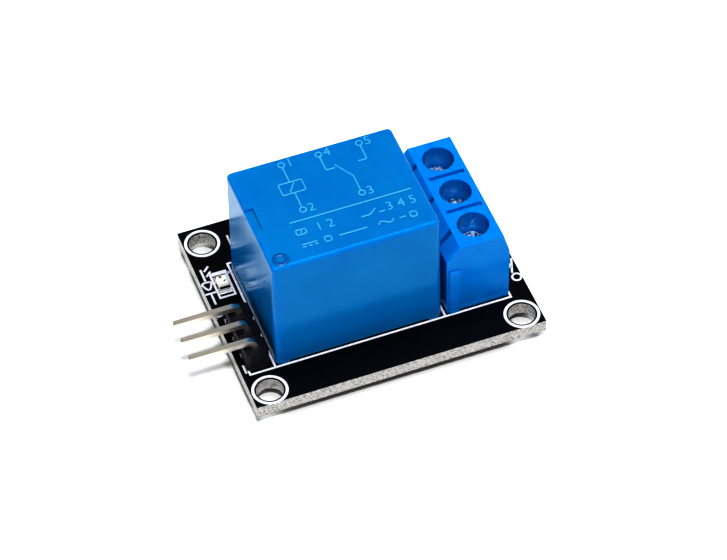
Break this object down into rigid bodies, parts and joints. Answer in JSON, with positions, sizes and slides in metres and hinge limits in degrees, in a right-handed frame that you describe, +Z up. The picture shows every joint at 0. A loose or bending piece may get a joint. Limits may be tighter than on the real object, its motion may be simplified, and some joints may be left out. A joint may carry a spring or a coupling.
{
  "type": "relay module board",
  "caption": "Small circuit board with one sealed blue relay, a screw terminal for its contacts, an angled pin header and an indicator.",
  "frame": {"origin": "middle of the four mounting holes, on the underside of the board", "axes": "+Z up out of the board's top, +X from the pin header to the screw terminal, +Y to the edge behind the relay"},
  "size_m": [0.0384, 0.0266, 0.0183],
  "materials": {
    "laminate": "matt",
    "black_mask": "satin",
    "white_print": "matt",
    "tinned_copper": "satin",
    "blue_case": "gloss",
    "relay_moulding": "matt",
    "resin": "matt",
    "iron": "satin",
    "copper_wire": "gloss",
    "spring_bronze": "satin",
    "contact_brass": "satin",
    "contact_silver": "satin",
    "tinned_wire": "satin",
    "blue_housing": "satin",
    "plated_steel": "satin",
    "tinned_brass": "satin",
    "black_header": "matt",
    "header_metal": "satin",
    "solder": "satin",
    "led_white": "matt",
    "led_clear": "gloss",
    "chip_black": "satin",
    "leg_metal": "satin"
  },
  "bodies": {
    "board": {"board_core": "laminate", "solder_mask_top": "black_mask", "solder_mask_bottom": "black_mask", "board_print": "white_print", "top_pads": "tinned_copper", "bottom_pads": "tinned_copper", "relay_case": "blue_case", "relay_base": "relay_moulding", "coil_bobbin": "relay_moulding", "relay_seal": "resin", "yoke": "iron", "coil_core": "iron", "coil_winding": "copper_wire", "return_leaf": "spring_bronze", "common_strip": "contact_brass", "open_strip": "contact_brass", "closed_strip": "contact_brass", "open_contact": "contact_silver", "closed_contact": "contact_silver", "coil_pin_1": "tinned_wire", "coil_pin_2": "tinned_wire", "terminal_housing": "blue_housing", "terminal_bar_1": "tinned_brass", "terminal_bar_2": "tinned_brass", "terminal_bar_3": "tinned_brass", "header_body": "black_header", "header_pin_1": "header_metal", "header_pin_2": "header_metal", "header_pin_3": "header_metal", "relay_solder": "solder", "terminal_solder": "solder", "header_solder": "solder", "led_base": "led_white", "led_lens": "led_clear", "resistor_1": "chip_black", "resistor_2": "chip_black", "transistor_body": "chip_black", "diode_body": "chip_black", "transistor_leads": "leg_metal", "diode_leads": "leg_metal"},
    "armature": {"armature": "iron", "contact_spring": "spring_bronze", "moving_contact": "contact_silver"},
    "screw_1": {"terminal_screw_1": "plated_steel"},
    "cage_1": {"clamp_cage_1": "plated_steel"},
    "screw_2": {"terminal_screw_2": "plated_steel"},
    "cage_2": {"clamp_cage_2": "plated_steel"},
    "screw_3": {"terminal_screw_3": "plated_steel"},
    "cage_3": {"clamp_cage_3": "plated_steel"}
  },
  "joints": [
    {"name": "armature_hinge", "type": "hinge", "parent": "board", "child": "armature", "pos_m": [-0.00984, -0.0007, 0.013], "axis": [0, 1, 0], "range_deg": [0, 2.4], "stiffness_Nm_per_rad": 0.02, "springref_deg": -8.59},
    {"name": "screw_1_turn", "type": "hinge", "parent": "board", "child": "screw_1", "pos_m": [0.01093, -0.00542, 0.0077], "axis": [0, 0, 1], "range_deg": [-864, 0]},
    {"name": "cage_1_rise", "type": "slide", "parent": "board", "child": "cage_1", "axis": [0, 0, 1], "range_m": [0, 0.0012]},
    {"name": "screw_2_turn", "type": "hinge", "parent": "board", "child": "screw_2", "pos_m": [0.01093, -0.00034, 0.0077], "axis": [0, 0, 1], "range_deg": [-864, 0]},
    {"name": "cage_2_rise", "type": "slide", "parent": "board", "child": "cage_2", "axis": [0, 0, 1], "range_m": [0, 0.0012]},
    {"name": "screw_3_turn", "type": "hinge", "parent": "board", "child": "screw_3", "pos_m": [0.01093, 0.00474, 0.0077], "axis": [0, 0, 1], "range_deg": [-864, 0]},
    {"name": "cage_3_rise", "type": "slide", "parent": "board", "child": "cage_3", "axis": [0, 0, 1], "range_m": [0, 0.0012]}
  ]
}
